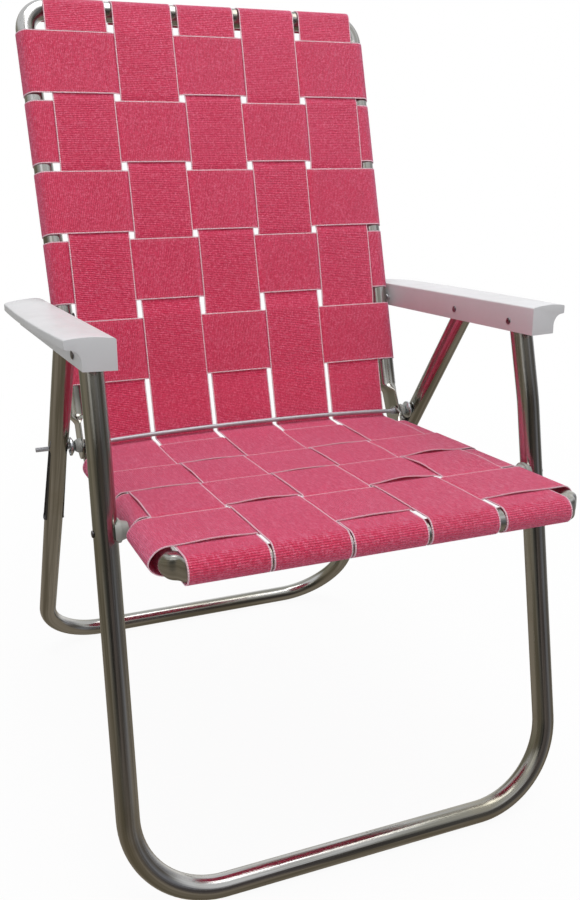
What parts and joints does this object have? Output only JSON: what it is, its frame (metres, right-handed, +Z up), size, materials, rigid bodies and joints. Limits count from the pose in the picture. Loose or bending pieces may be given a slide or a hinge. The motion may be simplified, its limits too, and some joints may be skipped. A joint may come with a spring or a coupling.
{
  "type": "folding_lawn_chair",
  "caption": "Folding lawn chair with a bent aluminium tube frame, white plastic armrests and a seat and back of crimson woven webbing straps; seat, back, armrests and legs fold flat together.",
  "frame": {"origin": "on the floor, under the middle of the front foot bar", "axes": "+Z up, +Y to the rear of the chair, +X to the right as seen from the front"},
  "size_m": [0.532, 0.5968, 0.8503],
  "materials": {
    "tube_aluminium": "polished",
    "armrest_plastic": "satin",
    "webbing": "woven, slightly glossy",
    "zinc_steel": "zinc plated",
    "bolt_steel": "dark plated",
    "spacer_plastic": "satin",
    "liner_plastic": "matte"
  },
  "bodies": {
    "front_leg": {"front_leg": "tube_aluminium", "seat_spacer_left": "spacer_plastic", "seat_spacer_right": "spacer_plastic", "seat_bolt_left": "bolt_steel", "seat_bolt_right": "bolt_steel"},
    "armrests": {"armrest_left": "armrest_plastic", "armrest_right": "armrest_plastic", "front_arm_bolt_left": "bolt_steel", "front_arm_bolt_right": "bolt_steel", "rear_arm_bolt_left": "bolt_steel", "rear_arm_bolt_right": "bolt_steel"},
    "rear_leg": {"rear_leg": "tube_aluminium", "slot_liner_left": "liner_plastic", "slot_liner_right": "liner_plastic"},
    "seat": {"seat_frame": "tube_aluminium", "hinge_rod": "zinc_steel", "rod_spacer_left": "spacer_plastic", "rod_spacer_right": "spacer_plastic", "cup_washer_left": "zinc_steel", "cup_washer_right": "zinc_steel", "seat_strap_long_1": "webbing", "seat_strap_long_2": "webbing", "seat_strap_long_3": "webbing", "seat_strap_long_4": "webbing", "seat_strap_long_5": "webbing", "seat_strap_cross_1": "webbing", "seat_strap_cross_2": "webbing", "seat_strap_cross_3": "webbing", "seat_strap_cross_4": "webbing"},
    "back": {"back_frame": "tube_aluminium", "back_arm_bolt_left": "bolt_steel", "back_arm_bolt_right": "bolt_steel", "back_arm_washer_left": "zinc_steel", "back_arm_washer_right": "zinc_steel", "back_strap_long_1": "webbing", "back_strap_long_2": "webbing", "back_strap_long_3": "webbing", "back_strap_long_4": "webbing", "back_strap_long_5": "webbing", "back_strap_cross_1": "webbing", "back_strap_cross_2": "webbing", "back_strap_cross_3": "webbing", "back_strap_cross_4": "webbing", "back_strap_cross_5": "webbing"}
  },
  "joints": [
    {"name": "armrest_fold", "type": "hinge", "parent": "front_leg", "child": "armrests", "pos_m": [0, 0.11306, 0.5157], "axis": [-1, 0, 0], "range_deg": [0, 75]},
    {"name": "rear_leg_turn", "type": "hinge", "parent": "armrests", "child": "rear_leg", "pos_m": [0, 0.21506, 0.5122], "axis": [-1, 0, 0], "range_deg": [-37, 0]},
    {"name": "seat_turn", "type": "hinge", "parent": "front_leg", "child": "seat", "pos_m": [0, 0.07375, 0.36209], "axis": [-1, 0, 0], "range_deg": [0, 85]},
    {"name": "back_turn", "type": "hinge", "parent": "seat", "child": "back", "pos_m": [0, 0.30784, 0.3679], "axis": [-1, 0, 0], "range_deg": [-86, 0]}
  ],
  "couplings": [
    {"joint": "rear_leg_turn", "follows": "armrest_fold", "ratio": -0.4855},
    {"joint": "seat_turn", "follows": "armrest_fold", "ratio": 1.1189},
    {"joint": "back_turn", "follows": "armrest_fold", "ratio": -1.13}
  ]
}
